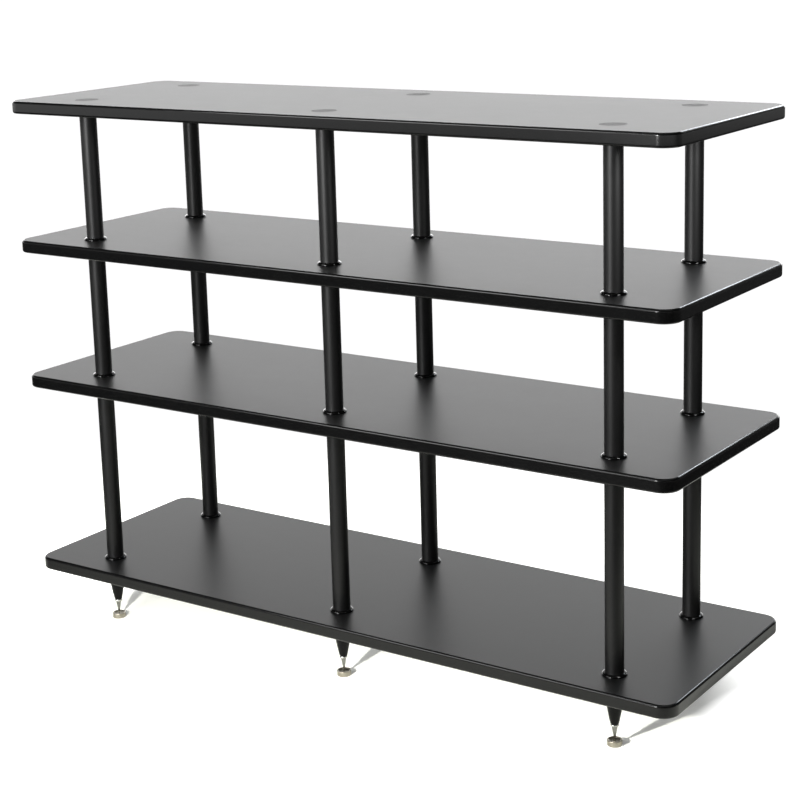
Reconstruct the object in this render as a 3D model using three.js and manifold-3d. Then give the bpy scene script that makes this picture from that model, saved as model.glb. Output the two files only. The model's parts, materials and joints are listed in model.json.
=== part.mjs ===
// Audio equipment rack: four boards on six lines of round columns, standing on adjustable spiked feet.
// Millimetres, +Z up. The origin is on the floor under the middle of the rack. +X is right and +Y is back.
import * as THREE from "three";
import { mergeVertices } from "three/addons/utils/BufferGeometryUtils.js";
import Module from "manifold-3d";

// Boards
const boardWidth = 1300;
const boardDepth = 415;
const boardThickness = 22;
const boardCornerRadius = 28;
const boardEdgeRadius = 3;

// Column lines, set in from the board's ends and sides, and tiers
const columnInsetX = 130;
const columnInsetY = 70.5;
const lowerTierHeight = 328;
const upperTierHeight = 228;

// Column tube, with a threaded plug in each end and a collar round its base
const tubeRadius = 15;
const tubeWall = 2;
const plugLength = 30;
const collarRadius = 20;
const collarHeight = 4;
const collarLandHeight = 0.6;

// Studs and bolts that join the tiers
const studRadius = 4;
const studReach = 25;
const boltHeadRadius = 20;
const boltHeadThickness = 2;
const boltHeadChamfer = 0.4;

// Foot cone
const coneLength = 60;
const coneTopRadius = 16;
const coneFootRadius = 7;
const coneBulgeRadius = 13.5;
const coneFootChamfer = 1.2;

// Levelling spike
const shankRadius = 4;
const shankLength = 28;
const ringRadius = 6.7;
const ringThickness = 4;
const ringChamfer = 0.6;
const neckRadius = 4.5;
const neckLength = 1.4;
const pointLength = 24;
const pointTipRadius = 0.6;

// Floor disc
const discRadius = 12;
const discHeight = 9;
const discChamfer = 0.8;
const discRimWidth = 1.8;
const dishDepth = 1.5;
const dimpleRadius = 1.6;
const dimpleDepth = 1.2;
const dimpleFloorRadius = 1;

// Fits
const threadClearance = 0.3;
const holeClearance = 0.5;
const headClearance = 0.3;
const stopClearance = 0.3;
const cutOverrun = 2;

// Fineness of the round shapes
const roundSides = 16;
const cornerSteps = 5;
const edgeSteps = 2;
const collarSteps = 3;
const coneSteps = 4;

// Heights above the floor
const tipSeatHeight = discHeight - dishDepth - dimpleDepth;
const ringBottomHeight = tipSeatHeight + pointLength + neckLength;
const coneFootHeight = ringBottomHeight + ringThickness + stopClearance;
const bottomBoardHeight = coneFootHeight + coneLength;
const tiers = [
  { name: "lower", height: lowerTierHeight },
  { name: "middle", height: upperTierHeight },
  { name: "upper", height: upperTierHeight },
];
const boardNames = ["shelf_bottom", "shelf_second", "shelf_third", "shelf_top"];
const boardHeights = [bottomBoardHeight];
for (const tier of tiers) {
  boardHeights.push(boardHeights.at(-1) + boardThickness + tier.height);
}

const columnX = boardWidth / 2 - columnInsetX;
const columnY = boardDepth / 2 - columnInsetY;
const columnLines = [];
for (const [row, y] of [["front", -columnY], ["back", columnY]]) {
  for (const [side, x] of [["left", -columnX], ["centre", 0], ["right", columnX]]) {
    columnLines.push({ name: `${row}_${side}`, x, y });
  }
}

const boardFinish = new THREE.MeshStandardMaterial({ color: 0x1c1c1f, roughness: 0.45, metalness: 0 });
const columnFinish = new THREE.MeshStandardMaterial({ color: 0x1a1a1c, roughness: 0.4, metalness: 0.3 });
const coneFinish = new THREE.MeshStandardMaterial({ color: 0x161617, roughness: 0.35, metalness: 0.3 });
const zincFinish = new THREE.MeshStandardMaterial({ color: 0x9a9b9c, roughness: 0.4, metalness: 1 });
const headFinish = new THREE.MeshStandardMaterial({ color: 0x232326, roughness: 0.4, metalness: 0.3 });
const steelFinish = new THREE.MeshStandardMaterial({ color: 0xb8b9b6, roughness: 0.25, metalness: 1 });
const nickelFinish = new THREE.MeshStandardMaterial({ color: 0xaea692, roughness: 0.3, metalness: 1 });

const wasm = await Module();
wasm.setup();

// A closed geometry as a solid that can be cut
function solidFrom(geometry) {
  const bare = geometry.clone();
  bare.deleteAttribute("normal");
  bare.deleteAttribute("uv");
  const merged = mergeVertices(bare);
  const vertProperties = new Float32Array(merged.attributes.position.array);
  const triVerts = new Uint32Array(merged.index.array);
  return new wasm.Manifold(new wasm.Mesh({ numProp: 3, vertProperties, triVerts }));
}

function geometryFrom(solid) {
  const mesh = solid.getMesh();
  const geometry = new THREE.BufferGeometry();
  geometry.setAttribute("position", new THREE.BufferAttribute(new Float32Array(mesh.vertProperties), 3));
  geometry.setIndex(new THREE.BufferAttribute(new Uint32Array(mesh.triVerts), 1));
  geometry.computeVertexNormals();
  return geometry;
}

// A solid turned about Z. The outline is a list of radius and height, with its outer side running upwards.
function turned(outline) {
  const points = outline.map(([radius, height]) => new THREE.Vector2(radius, height));
  const geometry = new THREE.LatheGeometry(points, roundSides);
  geometry.rotateX(Math.PI / 2);
  return geometry;
}

function rod(radius, bottom, top) {
  return turned([[0, bottom], [radius, bottom], [radius, top], [0, top]]);
}

// A board with its underside at zero, rounded at the plan corners and along its edges
function boardBlank() {
  const x = boardWidth / 2 - boardCornerRadius;
  const y = boardDepth / 2 - boardCornerRadius;
  const quarter = Math.PI / 2;
  const outline = new THREE.Shape();
  outline.absarc(x, y, boardCornerRadius, 0, quarter);
  outline.absarc(-x, y, boardCornerRadius, quarter, 2 * quarter);
  outline.absarc(-x, -y, boardCornerRadius, 2 * quarter, 3 * quarter);
  outline.absarc(x, -y, boardCornerRadius, 3 * quarter, 4 * quarter);
  outline.closePath();
  const blank = new THREE.ExtrudeGeometry(outline, {
    depth: boardThickness - 2 * boardEdgeRadius,
    curveSegments: cornerSteps,
    bevelThickness: boardEdgeRadius,
    bevelSize: boardEdgeRadius,
    bevelOffset: -boardEdgeRadius,
    bevelSegments: edgeSteps,
  });
  blank.translate(0, 0, boardEdgeRadius);
  return blank;
}

function board(isTop) {
  let solid = solidFrom(boardBlank());
  const hole = solidFrom(rod(studRadius + holeClearance, -cutOverrun, boardThickness + cutOverrun));
  const seatFloor = boardThickness - boltHeadThickness;
  const seat = solidFrom(rod(boltHeadRadius + headClearance, seatFloor, boardThickness + cutOverrun));
  const cutter = isTop ? hole.add(seat) : hole;
  for (const line of columnLines) {
    solid = solid.subtract(cutter.translate([line.x, line.y, 0]));
  }
  return geometryFrom(solid);
}

// Points on the dome of a collar, from the edge of its foot up to the tube
function collarDome() {
  const width = collarRadius - tubeRadius;
  const rise = collarHeight - collarLandHeight;
  const dome = [[collarRadius, 0]];
  for (let step = 0; step <= collarSteps; step += 1) {
    const angle = (Math.PI / 2) * (step / collarSteps);
    dome.push([tubeRadius + width * Math.cos(angle), collarLandHeight + rise * Math.sin(angle)]);
  }
  return dome;
}

// A tube with both plugs and its base collar, standing on zero. The plugs' bores run right through.
function column(length) {
  const bore = studRadius + threadClearance;
  const inside = tubeRadius - tubeWall;
  return turned([
    [bore, 0],
    ...collarDome(),
    [tubeRadius, length],
    [bore, length],
    [bore, length - plugLength],
    [inside, length - plugLength],
    [inside, plugLength],
    [bore, plugLength],
    [bore, 0],
  ]);
}

// The flush round head lies in the top board's seat. Zero is the top face of the head.
function topBolt() {
  const shankEnd = -boardThickness - studReach;
  return turned([
    [0, shankEnd],
    [studRadius, shankEnd],
    [studRadius, -boltHeadThickness],
    [boltHeadRadius, -boltHeadThickness],
    [boltHeadRadius, -boltHeadChamfer],
    [boltHeadRadius - boltHeadChamfer, 0],
    [0, 0],
  ]);
}

// A tapered foot with its foot face at zero, a stud on top and a blind bore for the spike's shank
function footCone() {
  const bore = shankRadius + threadClearance;
  const boreDepth = shankLength + stopClearance + cutOverrun;
  const flank = new THREE.QuadraticBezierCurve(
    new THREE.Vector2(coneFootRadius, coneFootChamfer),
    new THREE.Vector2(coneBulgeRadius, (coneLength + coneFootChamfer) / 2),
    new THREE.Vector2(coneTopRadius, coneLength),
  );
  return turned([
    [0, boreDepth],
    [bore, boreDepth],
    [bore, 0],
    [coneFootRadius - coneFootChamfer, 0],
    ...flank.getPoints(coneSteps).map((point) => [point.x, point.y]),
    [studRadius, coneLength],
    [studRadius, coneLength + boardThickness + studReach],
    [0, coneLength + boardThickness + studReach],
  ]);
}

// A steel point with its tip at zero, then a neck, a ring that stops under the cone, and the threaded shank
function spike() {
  const ringBottom = pointLength + neckLength;
  const ringTop = ringBottom + ringThickness;
  return turned([
    [0, 0],
    [pointTipRadius, 0],
    [neckRadius, pointLength],
    [neckRadius, ringBottom],
    [ringRadius - ringChamfer, ringBottom],
    [ringRadius, ringBottom + ringChamfer],
    [ringRadius, ringTop],
    [shankRadius, ringTop],
    [shankRadius, ringTop + shankLength],
    [0, ringTop + shankLength],
  ]);
}

// A round disc on the floor with a raised rim, a shallow dish and a dimple that holds the spike's tip
function floorDisc() {
  return turned([
    [0, 0],
    [discRadius - discChamfer, 0],
    [discRadius, discChamfer],
    [discRadius, discHeight - discChamfer],
    [discRadius - discChamfer, discHeight],
    [discRadius - discRimWidth, discHeight],
    [discRadius - discRimWidth - dishDepth, discHeight - dishDepth],
    [dimpleRadius, discHeight - dishDepth],
    [dimpleFloorRadius, tipSeatHeight],
    [0, tipSeatHeight],
  ]);
}

const rack = new THREE.Group();

function place(name, geometry, finish, x, y, z) {
  const mesh = new THREE.Mesh(geometry, finish.clone());
  mesh.name = name;
  mesh.position.set(x, y, z);
  rack.add(mesh);
}

boardNames.forEach((name, index) => {
  place(name, board(index === tiers.length), boardFinish, 0, 0, boardHeights[index]);
});

for (const { name, x, y } of columnLines) {
  tiers.forEach((tier, index) => {
    const foot = boardHeights[index] + boardThickness;
    place(`column_${tier.name}_${name}`, column(tier.height), columnFinish, x, y, foot);
  });
  for (const index of [1, 2]) {
    const boardLabel = boardNames[index].replace("shelf_", "");
    const stud = rod(studRadius, -studReach, boardThickness + studReach);
    place(`stud_${boardLabel}_${name}`, stud, zincFinish, x, y, boardHeights[index]);
  }
  place(`top_bolt_${name}`, topBolt(), headFinish, x, y, boardHeights.at(-1) + boardThickness);
  place(`foot_cone_${name}`, footCone(), coneFinish, x, y, coneFootHeight);
  place(`spike_${name}`, spike(), steelFinish, x, y, tipSeatHeight);
  place(`floor_disc_${name}`, floorDisc(), nickelFinish, x, y, 0);
}

export default rack;
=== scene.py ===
import json
import math

import bmesh
import bpy
from mathutils import Matrix, Vector

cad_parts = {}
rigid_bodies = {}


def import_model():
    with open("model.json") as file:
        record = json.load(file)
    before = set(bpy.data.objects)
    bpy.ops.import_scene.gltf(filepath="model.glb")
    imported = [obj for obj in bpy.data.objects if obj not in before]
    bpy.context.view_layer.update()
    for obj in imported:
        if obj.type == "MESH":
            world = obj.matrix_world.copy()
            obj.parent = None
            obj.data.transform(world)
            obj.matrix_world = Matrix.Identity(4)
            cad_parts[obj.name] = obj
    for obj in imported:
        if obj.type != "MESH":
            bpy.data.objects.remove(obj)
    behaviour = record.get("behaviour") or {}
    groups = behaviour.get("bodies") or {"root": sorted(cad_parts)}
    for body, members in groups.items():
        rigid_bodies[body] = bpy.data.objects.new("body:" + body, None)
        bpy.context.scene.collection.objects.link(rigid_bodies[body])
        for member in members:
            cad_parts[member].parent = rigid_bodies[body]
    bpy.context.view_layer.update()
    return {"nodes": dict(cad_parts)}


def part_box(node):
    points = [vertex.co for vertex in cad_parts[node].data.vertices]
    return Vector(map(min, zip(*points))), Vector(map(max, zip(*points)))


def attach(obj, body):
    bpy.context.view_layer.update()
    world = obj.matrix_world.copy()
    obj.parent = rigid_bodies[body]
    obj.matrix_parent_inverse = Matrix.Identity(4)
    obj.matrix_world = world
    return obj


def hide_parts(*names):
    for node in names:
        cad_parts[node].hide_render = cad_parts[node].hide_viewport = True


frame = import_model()

# Metres, +Z up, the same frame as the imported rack. The front is towards -Y.
scene = bpy.context.scene
nodes = frame["nodes"]
rackBody = "rack"
places = [name.replace("floor_disc_", "") for name in nodes if name.startswith("floor_disc_")]
tiers = ["lower", "middle", "upper"]
print("frame loaded:", len(nodes), "nodes,", len(places), "column lines")


# Tools for modelling by hand
toolSettings = {
    "seedSize": 0.001, "mergeDistance": 1e-6, "softenAngle": 25, "smoothAngle": 35, "normalWeight": 90,
}


def deselectAll():
    if bpy.context.object and bpy.context.object.mode != "OBJECT":
        bpy.ops.object.mode_set(mode="OBJECT")
    bpy.ops.object.select_all(action="DESELECT")


def selectOnly(piece):
    deselectAll()
    piece.select_set(True)
    bpy.context.view_layer.objects.active = piece


def nameNew(name):
    piece = bpy.context.object
    piece.name = name
    piece.data.name = name
    return piece


def editPiece(piece, mode="VERT"):
    bpy.context.view_layer.objects.active = piece
    bpy.ops.object.mode_set(mode="EDIT")
    bpy.ops.mesh.select_mode(type=mode)


def pickEdges(piece, wanted):
    bpy.ops.mesh.select_mode(type="EDGE")
    bpy.ops.mesh.select_all(action="DESELECT")
    mesh = bmesh.from_edit_mesh(piece.data)
    for edge in mesh.edges:
        edge.select_set(wanted(edge))
    bmesh.update_edit_mesh(piece.data)


def pickFaces(piece, wanted):
    bpy.ops.mesh.select_all(action="DESELECT")
    mesh = bmesh.from_edit_mesh(piece.data)
    for face in mesh.faces:
        face.select_set(wanted(face))
    bmesh.update_edit_mesh(piece.data)


def mergeDoubles():
    bpy.ops.mesh.select_all(action="SELECT")
    bpy.ops.mesh.remove_doubles(threshold=toolSettings["mergeDistance"])


def applyModifier(piece, kind, **settings):
    selectOnly(piece)
    modifier = piece.modifiers.new(kind.lower(), kind)
    for key, value in settings.items():
        setattr(modifier, key, value)
    bpy.ops.object.modifier_apply(modifier=modifier.name)


def smoothPiece(piece):
    selectOnly(piece)
    bpy.ops.object.shade_smooth_by_angle(angle=math.radians(toolSettings["smoothAngle"]))
    applyModifier(piece, "WEIGHTED_NORMAL", weight=toolSettings["normalWeight"], keep_sharp=True)


def copyPiece(piece, name, offset):
    twin = piece.copy()
    twin.data = piece.data.copy()
    twin.name = name
    twin.data.name = name
    twin.data.transform(Matrix.Translation(offset))
    scene.collection.objects.link(twin)
    return twin


def removePiece(piece):
    bpy.data.objects.remove(piece, do_unlink=True)


def piecesNamed(*starts):
    return [piece for piece in bpy.data.objects if piece.name.startswith(starts)]


def arc(centre, radius, start, end, count):
    # points of a rounded corner, angles in degrees from the outward direction
    points = []
    for step in range(count + 1):
        angle = math.radians(start + (end - start) * step / count)
        points.append((centre[0] + radius * math.cos(angle), centre[1] + radius * math.sin(angle)))
    return points


def bend(start, middle, end, share):
    # a point on the curve from start to end that leans towards middle
    return tuple((1 - share) ** 2 * first + 2 * share * (1 - share) * second + share ** 2 * third
                 for first, second, third in zip(start, middle, end))


def startPoint(name, radius, height):
    # a small plane merged to one vertex, ready to be drawn along an outline
    deselectAll()
    bpy.ops.mesh.primitive_plane_add(size=toolSettings["seedSize"])
    piece = nameNew(name)
    editPiece(piece)
    bpy.ops.mesh.select_all(action="SELECT")
    bpy.ops.mesh.merge(type="CENTER")
    bpy.ops.transform.translate(value=(radius, 0, height))
    return piece


def drawOn(outwards, upwards):
    bpy.ops.mesh.extrude_region_move(TRANSFORM_OT_translate={"value": (outwards, 0, upwards)})


def turnPiece(name, outline, steps, soften=0.0, softSegments=3):
    # one vertex is drawn along the outline of radius and height, then spun round Z
    piece = startPoint(name, *outline[0])
    for (radius, height), (nextRadius, nextHeight) in zip(outline, outline[1:]):
        drawOn(nextRadius - radius, nextHeight - height)
    bpy.ops.mesh.select_all(action="SELECT")
    bpy.ops.mesh.spin(steps=steps, angle=2 * math.pi, center=(0, 0, 0), axis=(0, 0, 1))
    mergeDoubles()
    bpy.ops.mesh.normals_make_consistent(inside=False)
    bpy.ops.object.mode_set(mode="OBJECT")
    if soften:
        applyModifier(piece, "BEVEL", width=soften, segments=softSegments, limit_method="ANGLE",
                      angle_limit=math.radians(toolSettings["softenAngle"]), use_clamp_overlap=True)
    return piece


def dress(piece, material, slotName, body, *replaced):
    piece.data.materials.clear()
    piece.data.materials.append(material)
    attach(piece, body)
    if replaced:
        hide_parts(*replaced)


def footOf(node):
    # the middle of a node's underside
    low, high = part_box(node)
    return Vector(((low[0] + high[0]) / 2, (low[1] + high[1]) / 2, low[2]))


def heightOf(node):
    low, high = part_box(node)
    return high[2] - low[2]


# Finishes: a socket that can be used in sums, and one material with its nodes

class Wire:
    def __init__(self, finish, socket):
        self.finish = finish
        self.socket = socket

    def __add__(self, other):
        return self.finish.maths("ADD", self, other)

    def __sub__(self, other):
        return self.finish.maths("SUBTRACT", self, other)

    def __rsub__(self, other):
        return self.finish.maths("SUBTRACT", other, self)

    def __mul__(self, other):
        return self.finish.maths("MULTIPLY", self, other)

    def __abs__(self):
        return self.finish.maths("ABSOLUTE", self)

    __radd__ = __add__
    __rmul__ = __mul__


class Finish:
    def __init__(self, name, owner=None):
        self.owner = owner or bpy.data.materials.new(name)
        self.owner.use_nodes = True
        self.tree = self.owner.node_tree
        self.tree.nodes.clear()

    def node(self, kind, settings=None, values=None, output=0):
        made = self.tree.nodes.new(kind)
        for key, value in (settings or {}).items():
            setattr(made, key, value)
        for key, value in (values or {}).items():
            if isinstance(value, Wire):
                self.tree.links.new(value.socket, made.inputs[key])
            else:
                made.inputs[key].default_value = value
        return Wire(self, made.outputs[output]) if made.outputs else None

    def maths(self, operation, *values):
        return self.node("ShaderNodeMath", {"operation": operation}, dict(enumerate(values)))

    def coords(self, **mapping):
        where = self.node("ShaderNodeTexCoord", output="Object")
        if mapping:
            where = self.node("ShaderNodeMapping", values={"Vector": where, **mapping})
        return where

    def axes(self):
        split = self.node("ShaderNodeSeparateXYZ", values={0: self.coords()})
        outputs = split.socket.node.outputs
        return [Wire(self, outputs[axis]) for axis in ("X", "Y", "Z")]

    def length(self, where):
        return self.node("ShaderNodeVectorMath", {"operation": "LENGTH"}, {0: where}, output="Value")

    def noise(self, scale, detail, roughness, stretch=None):
        where = self.coords(Scale=stretch) if stretch else self.coords()
        return self.node("ShaderNodeTexNoise", values={
            "Vector": where, "Scale": scale, "Detail": detail, "Roughness": roughness})

    def remap(self, value, low, high, newLow=0.0, newHigh=1.0, smooth=False):
        kind = "SMOOTHSTEP" if smooth else "LINEAR"
        return self.node("ShaderNodeMapRange", {"interpolation_type": kind, "clamp": True}, {
            0: value, 1: low, 2: high, 3: newLow, 4: newHigh})

    def blend(self, shares, *wires):
        # a sum of wires, each at its share
        total = wires[0] * shares[0]
        for wire, share in zip(wires[1:], shares[1:]):
            total = total + wire * share
        return total

    def mixColour(self, factor, first, second):
        # the Mix node keeps its two colours at inputs 6 and 7, and the mixed one at output 2
        return self.node("ShaderNodeMix", {"data_type": "RGBA"}, {0: factor, 6: first, 7: second}, output=2)

    def bump(self, height, distance, under=None):
        values = {"Height": height, "Distance": distance}
        if under:
            values["Normal"] = under
        return self.node("ShaderNodeBump", values=values)

    def surface(self, **inputs):
        values = {key.replace("_", " "): value for key, value in inputs.items()}
        shader = self.node("ShaderNodeBsdfPrincipled", values=values)
        self.node("ShaderNodeOutputMaterial", values={"Surface": shader})
        return self.owner


def grey(level, warmth=0.0):
    return (level * (1 + warmth), level, level * (1 - warmth), 1.0)


# the column lines stand on an even grid, so that one finish can run its marks round all of them
gridCorner = footOf("floor_disc_front_right")


def lineRadius(finish):
    # distance from the nearest column line
    x, y = finish.axes()[:2]
    half = gridCorner.x / 2
    localX = finish.maths("WRAP", x, half, -half)
    localY = abs(y) - abs(gridCorner.y)
    return finish.maths("SQRT", localX * localX + localY * localY)


# A noise is given as scale, detail and roughness, and a stretch where it is drawn out.
# What lies over a colour, such as dust, comes in over a range of the noise, up to its most.
boardFinishSettings = {
    "colour": grey(0.005, -0.02), "dust": grey(0.0075), "dustRange": (0.42, 0.7), "dustMost": 0.55,
    "wipe": (5.5, 4.0, 0.55, (1.0, 2.6, 1.0)), "mottle": (46, 5.0, 0.6), "dustShares": (0.4, 0.6),
    "peel": (620, 2.0, 0.5), "peelDepth": 0.000012, "grain": (2600, 2.0, 0.6), "grainDepth": 0.000004,
    "roughShares": (0.15, 0.25, 0.6), "roughSpread": (0.36, 0.64),
    "topRough": (0.395, 0.425), "edgeRough": (0.14, 0.17), "ior": 1.5,
}


def makeBoardFinish(name, rough):
    finish = Finish(name)
    look = boardFinishSettings
    wipe = finish.noise(*look["wipe"])
    mottle = finish.noise(*look["mottle"])
    peel = finish.noise(*look["peel"])
    grain = finish.noise(*look["grain"])
    dusty = finish.blend(look["dustShares"], wipe, mottle)
    dusty = finish.remap(dusty, *look["dustRange"], 0.0, look["dustMost"], smooth=True)
    uneven = finish.blend(look["roughShares"], wipe, mottle, grain)
    return finish.surface(
        Base_Color=finish.mixColour(dusty, look["colour"], look["dust"]),
        Roughness=finish.remap(uneven, *look["roughSpread"], *rough),
        IOR=look["ior"],
        Normal=finish.bump(peel, look["peelDepth"], under=finish.bump(grain, look["grainDepth"])))


columnFinishSettings = {
    "colour": grey(0.0055, -0.01), "worn": grey(0.01), "wornRange": (0.52, 0.75), "wornMost": 0.7,
    "grain": (1500, 3.0, 0.6), "pores": (520, 4.0, 0.65), "bumpDepth": 0.00003,
    "runs": (14, 4.0, 0.5, (1.0, 1.0, 0.25)), "roughShares": (0.6, 0.4), "roughSpread": (0.35, 0.65),
    "rough": (0.4, 0.46), "ior": 1.5,
}


def makeColumnFinish():
    finish = Finish("column_powder_coat")
    look = columnFinishSettings
    grain = finish.noise(*look["grain"])
    pores = finish.noise(*look["pores"])
    runs = finish.noise(*look["runs"])
    worn = finish.remap(pores, *look["wornRange"], 0.0, look["wornMost"], smooth=True)
    uneven = finish.blend(look["roughShares"], runs, grain)
    return finish.surface(
        Base_Color=finish.mixColour(worn, look["colour"], look["worn"]),
        Roughness=finish.remap(uneven, *look["roughSpread"], *look["rough"]),
        IOR=look["ior"],
        Normal=finish.bump(grain, look["bumpDepth"], under=finish.bump(pores, look["bumpDepth"])))


collarFinishSettings = {
    "colour": grey(0.003), "smeared": grey(0.007), "smearRange": (0.5, 0.8), "smearMost": 0.5,
    "smears": (160, 4.0, 0.6), "grain": (1900, 2.0, 0.5), "grainDepth": 0.000008,
    "roughSpread": (0.35, 0.7), "rough": (0.12, 0.2), "ior": 1.08, "coat": 0.6, "coatRough": 0.05,
}


def makeCollarFinish():
    finish = Finish("collar_gloss_black")
    look = collarFinishSettings
    smears = finish.noise(*look["smears"])
    grain = finish.noise(*look["grain"])
    smeared = finish.remap(smears, *look["smearRange"], 0.0, look["smearMost"])
    return finish.surface(
        Base_Color=finish.mixColour(smeared, look["colour"], look["smeared"]),
        Roughness=finish.remap(smears, *look["roughSpread"], *look["rough"]),
        IOR=look["ior"], Coat_Weight=look["coat"], Coat_Roughness=look["coatRough"],
        Normal=finish.bump(grain, look["grainDepth"]))


boltFinishSettings = {
    "colour": grey(0.006), "worn": grey(0.011), "wornRange": (0.45, 0.75), "wornMost": 0.5,
    "mottle": (210, 4.0, 0.6), "mottleDepth": 0.00002,
    "ringPitch": 0.0009, "ringDepth": 0.000004, "ringShare": 0.04,
    "roughSpread": (0.35, 0.68), "rough": (0.46, 0.55), "ior": 1.5,
}


def makeBoltFinish():
    finish = Finish("bolt_head_black")
    look = boltFinishSettings
    rings = finish.maths("SINE", lineRadius(finish) * (2 * math.pi / look["ringPitch"]))
    mottle = finish.noise(*look["mottle"])
    worn = finish.remap(mottle, *look["wornRange"], 0.0, look["wornMost"])
    uneven = mottle + rings * look["ringShare"]
    return finish.surface(
        Base_Color=finish.mixColour(worn, look["colour"], look["worn"]),
        Roughness=finish.remap(uneven, *look["roughSpread"], *look["rough"]),
        IOR=look["ior"],
        Normal=finish.bump(rings, look["ringDepth"], under=finish.bump(mottle, look["mottleDepth"])))


coneFinishSettings = {
    "colour": grey(0.002), "smeared": grey(0.005), "smearRange": (0.5, 0.75), "smearMost": 0.6,
    "smears": (90, 4.0, 0.6, (1.0, 1.0, 0.4)), "grain": (1300, 3.0, 0.6), "grainDepth": 0.00002,
    "roughShares": (0.7, 0.3), "roughSpread": (0.36, 0.64), "rough": (0.25, 0.36), "ior": 1.28,
}


def makeConeFinish():
    finish = Finish("cone_semi_gloss_black")
    look = coneFinishSettings
    grain = finish.noise(*look["grain"])
    smears = finish.noise(*look["smears"])
    smeared = finish.remap(smears, *look["smearRange"], 0.0, look["smearMost"])
    uneven = finish.blend(look["roughShares"], smears, grain)
    return finish.surface(
        Base_Color=finish.mixColour(smeared, look["colour"], look["smeared"]),
        Roughness=finish.remap(uneven, *look["roughSpread"], *look["rough"]),
        IOR=look["ior"],
        Normal=finish.bump(grain, look["grainDepth"]))


# Turned metal, with fine tool marks round each column line and one dictionary for each of its kinds
metalSettings = {
    "uneven": (480, 4.0, 0.6), "unevenToMarkDepth": 2,
    "patches": (130, 5.0, 0.65), "stainRange": (0.42, 0.72), "stainMost": 0.85,
    "roughShares": (0.5, 0.35, 0.08), "roughSpread": (0.3, 0.6),
}
# one steel painted in two tones: the point is set darker, as painted shade, and from the ring up it is much
# brighter, as a painted reflection; the change lies between the two heights
steelSettings = {
    "colour": (0.34, 0.34, 0.31, 1), "stain": (0.22, 0.22, 0.2, 1), "rough": (0.13, 0.26),
    "markPitch": 0.00035, "markDepth": 0.000006,
    "polished": (0.86, 0.86, 0.84, 1), "polishHeights": (0.0312, 0.0318),
}
nickelSettings = {
    "colour": (0.46, 0.43, 0.36, 1), "stain": (0.27, 0.24, 0.18, 1), "rough": (0.28, 0.46),
    "markPitch": 0.0004, "markDepth": 0.000008,
}
zincSettings = {
    "colour": (0.52, 0.53, 0.55, 1), "stain": (0.4, 0.4, 0.38, 1), "rough": (0.3, 0.45),
    "markPitch": 0.00125, "markDepth": 0.00012,
}


def makeTurnedMetal(name, colour, stain, rough, markPitch, markDepth, polished=None, polishHeights=None):
    finish = Finish(name)
    look = metalSettings
    height = finish.axes()[2]
    # painted reflection: above the given heights the metal's colour turns much brighter
    if polished:
        colour = finish.mixColour(finish.remap(height, *polishHeights), colour, polished)
    marks = finish.maths("SINE", (lineRadius(finish) + height) * (2 * math.pi / markPitch))
    uneven = finish.noise(*look["uneven"])
    patches = finish.noise(*look["patches"])
    stained = finish.remap(patches, *look["stainRange"], 0.0, look["stainMost"], smooth=True)
    dull = finish.blend(look["roughShares"], patches, uneven, marks)
    unevenBump = finish.bump(uneven, markDepth * look["unevenToMarkDepth"])
    return finish.surface(
        Base_Color=finish.mixColour(stained, colour, stain),
        Metallic=1.0,
        Roughness=finish.remap(dull, *look["roughSpread"], *rough),
        Normal=finish.bump(marks, markDepth, under=unevenBump))


print("making finishes")
boardFinish = makeBoardFinish("board_satin_lacquer", boardFinishSettings["topRough"])
boardEdgeFinish = makeBoardFinish("board_edge_lacquer", boardFinishSettings["edgeRough"])
columnFinish = makeColumnFinish()
collarFinish = makeCollarFinish()
boltFinish = makeBoltFinish()
coneFinish = makeConeFinish()
steelFinish = makeTurnedMetal("spike_bright_steel", **steelSettings)
nickelFinish = makeTurnedMetal("disc_warm_nickel", **nickelSettings)
zincFinish = makeTurnedMetal("stud_zinc", **zincSettings)


# Boards. A face is level or flat where its normal's upright share is past the two last values.
boardSettings = {
    "cornerRadius": 0.028, "cornerSegments": 16, "edgeRadius": 0.004, "edgeSegments": 8,
    "holeRadius": 0.0045, "seatRadius": 0.0203, "seatDepth": 0.002, "cutterSides": 64, "overrun": 0.004,
    "levelNormal": 0.5, "flatNormal": 0.999,
}


def cutRound(piece, x, y, radius, low, high):
    deselectAll()
    bpy.ops.mesh.primitive_cylinder_add(vertices=boardSettings["cutterSides"], radius=radius,
                                        depth=high - low, location=(x, y, (low + high) / 2))
    cutter = bpy.context.object
    applyModifier(piece, "BOOLEAN", object=cutter, operation="DIFFERENCE", solver="EXACT")
    removePiece(cutter)


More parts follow.
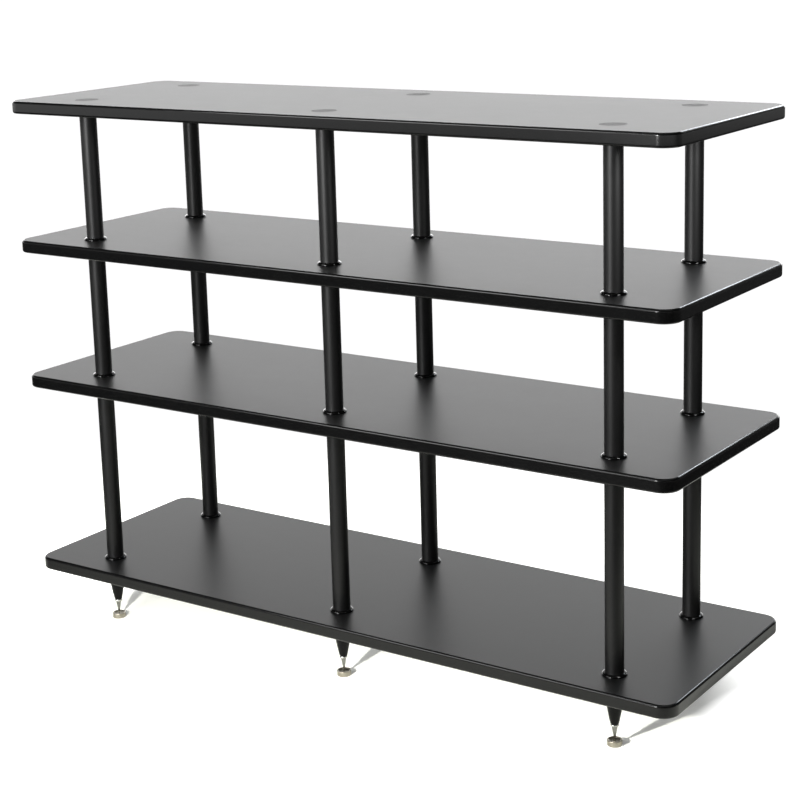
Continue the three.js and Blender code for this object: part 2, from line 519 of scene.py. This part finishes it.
def makeBoard(node, hasSeats):
    size = boardSettings
    low, high = (Vector(corner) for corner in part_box(node))
    deselectAll()
    bpy.ops.mesh.primitive_cube_add(size=1, location=(low + high) / 2, scale=high - low)
    board = nameNew(node.replace("shelf", "board"))
    bpy.ops.object.transform_apply(location=True, rotation=False, scale=True)
    editPiece(board)
    # the upright edges first, then the edges all round the top and the underside
    pickEdges(board, lambda edge: abs(edge.verts[0].co.z - edge.verts[1].co.z) > size["edgeRadius"])
    bpy.ops.mesh.bevel(offset=size["cornerRadius"], segments=size["cornerSegments"], affect="EDGES")
    pickEdges(board, lambda edge: sum(
        abs(face.normal.z) > size["levelNormal"] for face in edge.link_faces) == 1)
    bpy.ops.mesh.bevel(offset=size["edgeRadius"], segments=size["edgeSegments"], affect="EDGES")
    bpy.ops.object.mode_set(mode="OBJECT")
    top = high.z + size["overrun"]
    for place in places:
        spot = footOf("floor_disc_" + place)
        cutRound(board, spot.x, spot.y, size["holeRadius"], low.z - size["overrun"], top)
        if hasSeats:
            cutRound(board, spot.x, spot.y, size["seatRadius"], high.z - size["seatDepth"], top)
    smoothPiece(board)
    dress(board, boardFinish, "board", rackBody, node)
    # the edges are glossier than the two flat faces
    board.data.materials.append(boardEdgeFinish)
    editPiece(board, "FACE")
    pickFaces(board, lambda face: abs(face.normal.z) < size["flatNormal"])
    board.active_material_index = 1
    bpy.ops.object.material_slot_assign()
    bpy.ops.object.mode_set(mode="OBJECT")


print("making boards")
for node in [name for name in nodes if name.startswith("shelf_")]:
    makeBoard(node, node == "shelf_top")


# Columns and their collars
columnSettings = {
    "radius": 0.015, "wall": 0.002, "plugLength": 0.03, "boreRadius": 0.0043, "steps": 64, "wallRows": 4,
    "endSoftening": 0.0003, "endSegments": 2,
}


def makeColumn(tier):
    size = columnSettings
    length = heightOf("column_%s_%s" % (tier, places[0]))
    inside = size["radius"] - size["wall"]
    outline = [(size["boreRadius"], 0)]
    outline += [(size["radius"], length * row / size["wallRows"]) for row in range(size["wallRows"] + 1)]
    outline += [
        (size["boreRadius"], length),
        (size["boreRadius"], length - size["plugLength"]),
        (inside, length - size["plugLength"]),
        (inside, size["plugLength"]),
        (size["boreRadius"], size["plugLength"]),
        (size["boreRadius"], 0),
    ]
    column = turnPiece("tube_" + tier, outline, size["steps"], size["endSoftening"], size["endSegments"])
    smoothPiece(column)
    return column


collarSettings = {
    "innerRadius": 0.01505, "radius": 0.02, "height": 0.004, "landHeight": 0.0006, "footRound": 0.0003,
    "domeSteps": 14, "steps": 72,
}


def makeCollar():
    size = collarSettings
    width = size["radius"] - size["innerRadius"]
    rise = size["height"] - size["landHeight"]
    outline = [
        (size["innerRadius"], 0),
        (size["radius"] - size["footRound"], 0),
        (size["radius"], size["footRound"]),
    ]
    for radius, height in arc((0, 0), 1, 0, 90, size["domeSteps"]):
        outline.append((size["innerRadius"] + width * radius, size["landHeight"] + rise * height))
    outline.append((size["innerRadius"], 0))
    collar = turnPiece("collar", outline, size["steps"])
    smoothPiece(collar)
    return collar


print("making columns")
collarMaster = makeCollar()
for tier in tiers:
    columnMaster = makeColumn(tier)
    for place in places:
        node = "column_%s_%s" % (tier, place)
        tube = copyPiece(columnMaster, "tube_%s_%s" % (tier, place), footOf(node))
        dress(tube, columnFinish, "column", rackBody, node)
        collar = copyPiece(collarMaster, "collar_%s_%s" % (tier, place), footOf(node))
        dress(collar, collarFinish, "column", rackBody)
    removePiece(columnMaster)
removePiece(collarMaster)


# Flush bolts in the top board
boltSettings = {
    "headRadius": 0.02, "headThickness": 0.002, "shankRadius": 0.004, "softening": 0.0004, "steps": 72,
}


def makeBolt(node):
    size = boltSettings
    length = heightOf(node)
    outline = [
        (0, 0),
        (size["shankRadius"], 0),
        (size["shankRadius"], length - size["headThickness"]),
        (size["headRadius"], length - size["headThickness"]),
        (size["headRadius"], length),
        (0, length),
    ]
    bolt = turnPiece("bolt", outline, size["steps"], size["softening"])
    smoothPiece(bolt)
    return bolt


print("making bolts")
boltMaster = makeBolt("top_bolt_" + places[0])
for place in places:
    node = "top_bolt_" + place
    dress(copyPiece(boltMaster, "bolt_" + place, footOf(node)), boltFinish, "bolt_head", rackBody, node)
removePiece(boltMaster)


# Feet: a cone, a spike that screws down out of it, and the disc that the spike stands in
coneSettings = {
    "length": 0.06, "topRadius": 0.016, "footRadius": 0.007, "bulgeRadius": 0.0135, "footRound": 0.0012,
    "boreRadius": 0.0043, "boreDepth": 0.0303, "studRadius": 0.004,
    "flankSteps": 14, "roundSteps": 4, "steps": 72,
}


def makeCone(node):
    size = coneSettings
    top = heightOf(node)
    footCentre = (size["footRadius"] - size["footRound"], size["footRound"])
    flankFoot = (size["footRadius"], size["footRound"])
    flankBulge = (size["bulgeRadius"], (size["length"] + size["footRound"]) / 2)
    flankTop = (size["topRadius"], size["length"])
    outline = [(0, size["boreDepth"]), (size["boreRadius"], size["boreDepth"]), (size["boreRadius"], 0)]
    outline += arc(footCentre, size["footRound"], -90, 0, size["roundSteps"])
    for step in range(1, size["flankSteps"] + 1):
        outline.append(bend(flankFoot, flankBulge, flankTop, step / size["flankSteps"]))
    outline += [(size["studRadius"], size["length"]), (size["studRadius"], top), (0, top)]
    cone = turnPiece("cone", outline, size["steps"])
    smoothPiece(cone)
    return cone


spikeSettings = {
    "tipRadius": 0.0006, "tipLand": 0.0003, "neckRadius": 0.0045, "neckHeight": 0.024, "pointRows": 6,
    "ringBottom": 0.0254, "ringTop": 0.0294, "ringRadius": 0.0067, "ringRound": 0.0014, "ringSteps": 5,
    "coreRadius": 0.0034, "threadRadius": 0.0039, "threadPitch": 0.00125, "threadSteps": 32,
    "softening": 0.0005, "steps": 64,
}


def makeThread(bottom, top):
    # one ridge is drawn over a pitch, then screwed up the shank
    size = spikeSettings
    rise = size["threadPitch"] / 2
    depth = size["threadRadius"] - size["coreRadius"]
    thread = startPoint("thread", size["coreRadius"], bottom)
    drawOn(depth, rise)
    drawOn(-depth, rise)
    bpy.ops.object.mode_set(mode="OBJECT")
    turns = int((top - bottom) / size["threadPitch"]) - 1
    applyModifier(thread, "SCREW", axis="Z", angle=2 * math.pi, screw_offset=size["threadPitch"],
                  iterations=turns, steps=size["threadSteps"], render_steps=size["threadSteps"],
                  use_merge_vertices=True, merge_threshold=toolSettings["mergeDistance"])
    editPiece(thread)
    mergeDoubles()
    pickEdges(thread, lambda edge: edge.is_boundary)
    bpy.ops.mesh.edge_face_add()
    bpy.ops.mesh.select_all(action="SELECT")
    bpy.ops.mesh.normals_make_consistent(inside=False)
    bpy.ops.object.mode_set(mode="OBJECT")
    return thread


def makeSpike(node):
    size = spikeSettings
    length = heightOf(node)
    flare = size["neckRadius"] - size["tipRadius"]
    rise = size["neckHeight"] - size["tipLand"]
    roundInset = size["ringRadius"] - size["ringRound"]
    lowerRound = (roundInset, size["ringBottom"] + size["ringRound"])
    upperRound = (roundInset, size["ringTop"] - size["ringRound"])
    outline = [(0, 0), (size["tipRadius"], 0)]
    for row in range(size["pointRows"] + 1):
        share = row / size["pointRows"]
        outline.append((size["tipRadius"] + flare * share, size["tipLand"] + rise * share))
    outline.append((size["neckRadius"], size["ringBottom"]))
    outline += arc(lowerRound, size["ringRound"], -90, 0, size["ringSteps"])
    outline += arc(upperRound, size["ringRound"], 0, 90, size["ringSteps"])
    outline += [(size["coreRadius"], size["ringTop"]), (size["coreRadius"], length), (0, length)]
    spike = turnPiece("spike", outline, size["steps"], size["softening"])
    thread = makeThread(size["ringTop"] - size["threadPitch"], length - size["threadPitch"])
    selectOnly(spike)
    thread.select_set(True)
    bpy.ops.object.join()
    smoothPiece(spike)
    return spike


discSettings = {
    "radius": 0.012, "height": 0.009, "rimWidth": 0.0018, "dishDepth": 0.0015, "dimpleRadius": 0.0016,
    "dimpleFloorRadius": 0.001, "dimpleDepth": 0.0012, "softening": 0.0009, "steps": 80,
}


def makeDisc():
    size = discSettings
    dishFloor = size["height"] - size["dishDepth"]
    dimpleFloor = dishFloor - size["dimpleDepth"]
    rimRadius = size["radius"] - size["rimWidth"]
    outline = [
        (0, 0),
        (size["radius"], 0),
        (size["radius"], size["height"]),
        (rimRadius, size["height"]),
        (rimRadius - size["dishDepth"], dishFloor),
        (size["dimpleRadius"], dishFloor),
        (size["dimpleFloorRadius"], dimpleFloor),
        (0, dimpleFloor),
    ]
    disc = turnPiece("disc", outline, size["steps"], size["softening"])
    smoothPiece(disc)
    return disc


print("making feet")
footMasters = {
    "cone": (makeCone("foot_cone_" + places[0]), "foot_cone_", coneFinish, "foot_cone", None),
    "point": (makeSpike("spike_" + places[0]), "spike_", steelFinish, "spike_steel", "levelling_spike_"),
    "disc": (makeDisc(), "floor_disc_", nickelFinish, "nickel", "levelling_disc_"),
}
for label, (master, nodeStart, finish, slotName, bodyStart) in footMasters.items():
    for place in places:
        body = bodyStart + place if bodyStart else rackBody
        twin = copyPiece(master, "%s_%s" % (label, place), footOf(nodeStart + place))
        dress(twin, finish, slotName, body, nodeStart + place)
    removePiece(master)


# The joining studs stay as they are, with a zinc finish
for stud in piecesNamed("stud_"):
    for slot in stud.material_slots:
        slot.material = zincFinish


# Camera, at the photograph's place
cameraSettings = {
    "place": (1.7383, -2.4656, 1.2729), "azimuth": 34.506, "elevation": 12.154, "roll": -1.588,
    "focalPixels": 1810.2, "axisRow": 304, "imagePixels": 800, "sensor": 36.0,
}


def makeCamera():
    view = cameraSettings
    azimuth, elevation, roll = (math.radians(view[key]) for key in ("azimuth", "elevation", "roll"))
    forward = Vector((-math.sin(azimuth) * math.cos(elevation), math.cos(azimuth) * math.cos(elevation),
                      -math.sin(elevation)))
    level = forward.cross(Vector((0, 0, 1))).normalized()
    upright = level.cross(forward)
    right = level * math.cos(roll) + upright * math.sin(roll)
    up = upright * math.cos(roll) - level * math.sin(roll)
    turn = Matrix((right, up, -forward)).transposed().to_4x4()
    camera = bpy.data.objects.new("photo_camera", bpy.data.cameras.new("photo_camera"))
    scene.collection.objects.link(camera)
    camera.matrix_world = Matrix.Translation(view["place"]) @ turn
    camera.data.sensor_fit = "HORIZONTAL"
    camera.data.sensor_width = view["sensor"]
    camera.data.lens = view["focalPixels"] / view["imagePixels"] * view["sensor"]
    camera.data.shift_y = (view["axisRow"] - view["imagePixels"] / 2) / view["imagePixels"]
    scene.camera = camera


makeCamera()
print("camera set")


def rays(finish, *names):
    # 1 where the ray is one of the named kinds
    path = finish.node("ShaderNodeLightPath").socket.node.outputs
    total = Wire(finish, path["Is %s Ray" % names[0]])
    for name in names[1:]:
        total = total + Wire(finish, path["Is %s Ray" % name])
    return finish.remap(total, 0.0, 1.0)


# The floor is white paper round the rack. Past its end the room is dark, up to a far white wall,
# and only gloss shows that wall. The camera sees the floor glow white all round, and less under the rack,
# where the feet cast their shadows. A small round well under each foot lets its disc go down in view.
floorSettings = {
    "size": 80.0, "divisions": 8, "paper": (0.93, 0.95, 0.88, 1.0), "room": grey(0.008),
    "rough": 0.9, "specular": 0.2,
    "paperCentre": (0.0, -0.15, 0.0), "paperStretch": (0.6, 1.0, 1.0), "paperEnd": (0.65, 1.05),
    "glowStretch": (0.62, 1.0, 1.0), "nearGlow": 0.2, "glowRise": (0.35, 0.43), "glowEnds": (0.56, 0.61),
    "behind": (-0.35, 0.1), "frontShade": 0.68, "roomShine": 0.06, "roomStart": (1.2, 3.0),
    "farWall": (5.0, 11.0), "wallSide": (-2.0, 2.0), "wallFront": 1.12, "wallBehind": 0.27,
    "wellRadius": 0.0123, "wellReach": 0.6,
}


def makeFloor():
    look = floorSettings
    deselectAll()
    bpy.ops.mesh.primitive_grid_add(
        x_subdivisions=look["divisions"], y_subdivisions=look["divisions"], size=look["size"])
    floor = nameNew("studio_floor")
    finish = Finish("studio_floor_white")
    x, y = finish.axes()[:2]
    seen = rays(finish, "Camera", "Transmission")
    glossy = rays(finish, "Glossy")
    onPaper = finish.length(finish.coords(Location=look["paperCentre"], Scale=look["paperStretch"]))
    roundRack = finish.length(finish.coords(Scale=look["glowStretch"]))
    distance = finish.length(finish.coords())
    pastPaper = finish.remap(onPaper, *look["paperEnd"], smooth=True)
    behind = finish.remap(y, *look["behind"])
    glowRound = finish.remap(roundRack, *look["glowRise"], look["nearGlow"], 1.0, smooth=True)
    glowEnds = finish.remap(abs(x), *look["glowEnds"], smooth=True)
    glow = finish.maths("MAXIMUM", glowRound, glowEnds)
    roomStart = finish.remap(distance, *look["roomStart"], smooth=True)
    room = pastPaper * behind * look["roomShine"] * roomStart
    wallLevel = finish.remap(y, *look["wallSide"], look["wallFront"], look["wallBehind"])
    wall = finish.remap(distance, *look["farWall"], smooth=True) * wallLevel
    ground = finish.mixColour(pastPaper, look["paper"], look["room"])
    ground = finish.mixColour(glossy * (1 - behind) * look["frontShade"], ground, look["room"])
    paper = finish.node("ShaderNodeBsdfPrincipled", values={
        "Base Color": ground, "Roughness": look["rough"], "Specular IOR Level": look["specular"],
        "Emission Color": glow * seen + (room + wall) * glossy, "Emission Strength": 1.0})
    inWell = finish.maths("LESS_THAN", lineRadius(finish), look["wellRadius"])
    underRack = finish.maths("LESS_THAN", abs(x), look["wellReach"])
    empty = finish.node("ShaderNodeBsdfTransparent")
    shader = finish.node("ShaderNodeMixShader", values={0: inWell * underRack, 1: paper, 2: empty})
    finish.node("ShaderNodeOutputMaterial", values={"Surface": shader})
    floor.data.materials.append(finish.owner)
    return floor


# The world is a white backdrop. Gloss shows it brightest low down behind the rack, with a dark room
# in front, above and at the right, and a pale light straight overhead.
worldSettings = {
    "ambient": 0.31, "plain": 0.9, "shine": 5.7, "shineHeight": 0.33, "shineSide": (-0.1, 0.5),
    "leanSide": (-0.75, -0.4), "leanHeight": (0.1, 0.26), "lean": (0.06, -0.2),
    "top": (0.34, 0.62), "ceiling": 0.06, "front": (-0.1, 0.5), "frontRoom": 0.06,
    "right": (0.05, 0.4), "rightRoom": 0.06, "overheadStart": (0.75, 0.95), "overhead": 0.35,
}


def makeWorld():
    look = worldSettings
    world = bpy.data.worlds.new("studio_world")
    scene.world = world
    finish = Finish("studio_world", world)
    x, y, z = finish.axes()
    seen = rays(finish, "Camera", "Transmission")
    glossy = rays(finish, "Glossy")
    shine = finish.remap(z, 0.0, look["shineHeight"], look["shine"] - look["plain"], 0.0)
    mirrored = look["plain"] + shine * finish.remap(x, *look["shineSide"], 1.0, 0.0, smooth=True)
    # a little stronger at the far left low down, and nearer the middle higher up
    leftwards = finish.remap(x, *look["leanSide"], 1.0, -1.0)
    mirrored = mirrored * (1 + leftwards * finish.remap(z, *look["leanHeight"], *look["lean"]))
    mirrored = mirrored * finish.remap(z, *look["top"], 1.0, look["ceiling"], smooth=True)
    mirrored = mirrored * finish.remap(y, *look["front"], look["frontRoom"], 1.0, smooth=True)
    mirrored = mirrored * finish.remap(x, *look["right"], 1.0, look["rightRoom"], smooth=True)
    mirrored = mirrored + finish.remap(z, *look["overheadStart"], 0.0, look["overhead"], smooth=True)
    ambient = finish.remap(seen + glossy, 0.0, 1.0, look["ambient"], 0.0)
    background = finish.node("ShaderNodeBackground", values={
        "Color": seen + mirrored * glossy + ambient, "Strength": 1.0})
    finish.node("ShaderNodeOutputWorld", values={"Surface": background})


floor = makeFloor()
makeWorld()


# The hard key lamp lights only the floor and the bare metal of the feet.
# The right lamp shows only in the gloss of the columns and their collars.
lampSettings = {
    "key": {
        "place": (0.17, -1.55, 0.68), "target": (0, 0, 0.1), "width": 0.06, "height": 0.06, "power": 56,
        "colour": (1, 0.98, 0.95), "lights": [floor] + piecesNamed("point_", "disc_"),
    },
    "column": {
        "place": (-0.3, -3.5, 1.15), "target": (0, 0, 0.9), "width": 0.8, "height": 0.8, "power": 80,
        "colour": (1, 1, 1),
    },
    "high": {
        "place": (-1.2, -2.1, 1.9), "target": (0, 0, 0.5), "width": 1.2, "height": 0.8, "power": 22,
        "colour": (1, 1, 1),
    },
    "back": {
        "place": (0.3, 3.0, 2.22), "target": (0.3, 0, 0.7), "width": 0.9, "height": 0.3, "power": 10,
        "colour": (0.86, 0.93, 1),
    },
    "right": {
        "place": (1.15, -0.3, 1.1), "target": (0.5, 0, 0.8), "width": 0.28, "height": 0.2, "power": 7,
        "colour": (1, 1, 1), "inDiffuse": False, "lights": piecesNamed("tube_", "collar_"),
    },
}


def makeLamp(name, place, target, width, height, power, colour, inDiffuse=True, lights=None):
    lamp = bpy.data.objects.new(name, bpy.data.lights.new(name, "AREA"))
    lamp.data.shape = "RECTANGLE"
    lamp.data.size = width
    lamp.data.size_y = height
    lamp.data.energy = power
    lamp.data.color = colour
    lamp.location = place
    lamp.rotation_euler = (Vector(target) - Vector(place)).to_track_quat("-Z", "Y").to_euler()
    lamp.visible_camera = False
    lamp.visible_diffuse = inDiffuse
    scene.collection.objects.link(lamp)
    if lights:
        # this lamp lights only these objects, and the others still cast their shadows
        only = bpy.data.collections.new(name + "_lights")
        for lit in lights:
            only.objects.link(lit)
        lamp.light_linking.receiver_collection = only


for name, settings in lampSettings.items():
    makeLamp(name + "_lamp", **settings)
scene.view_settings.view_transform = "Standard"
print("studio set")
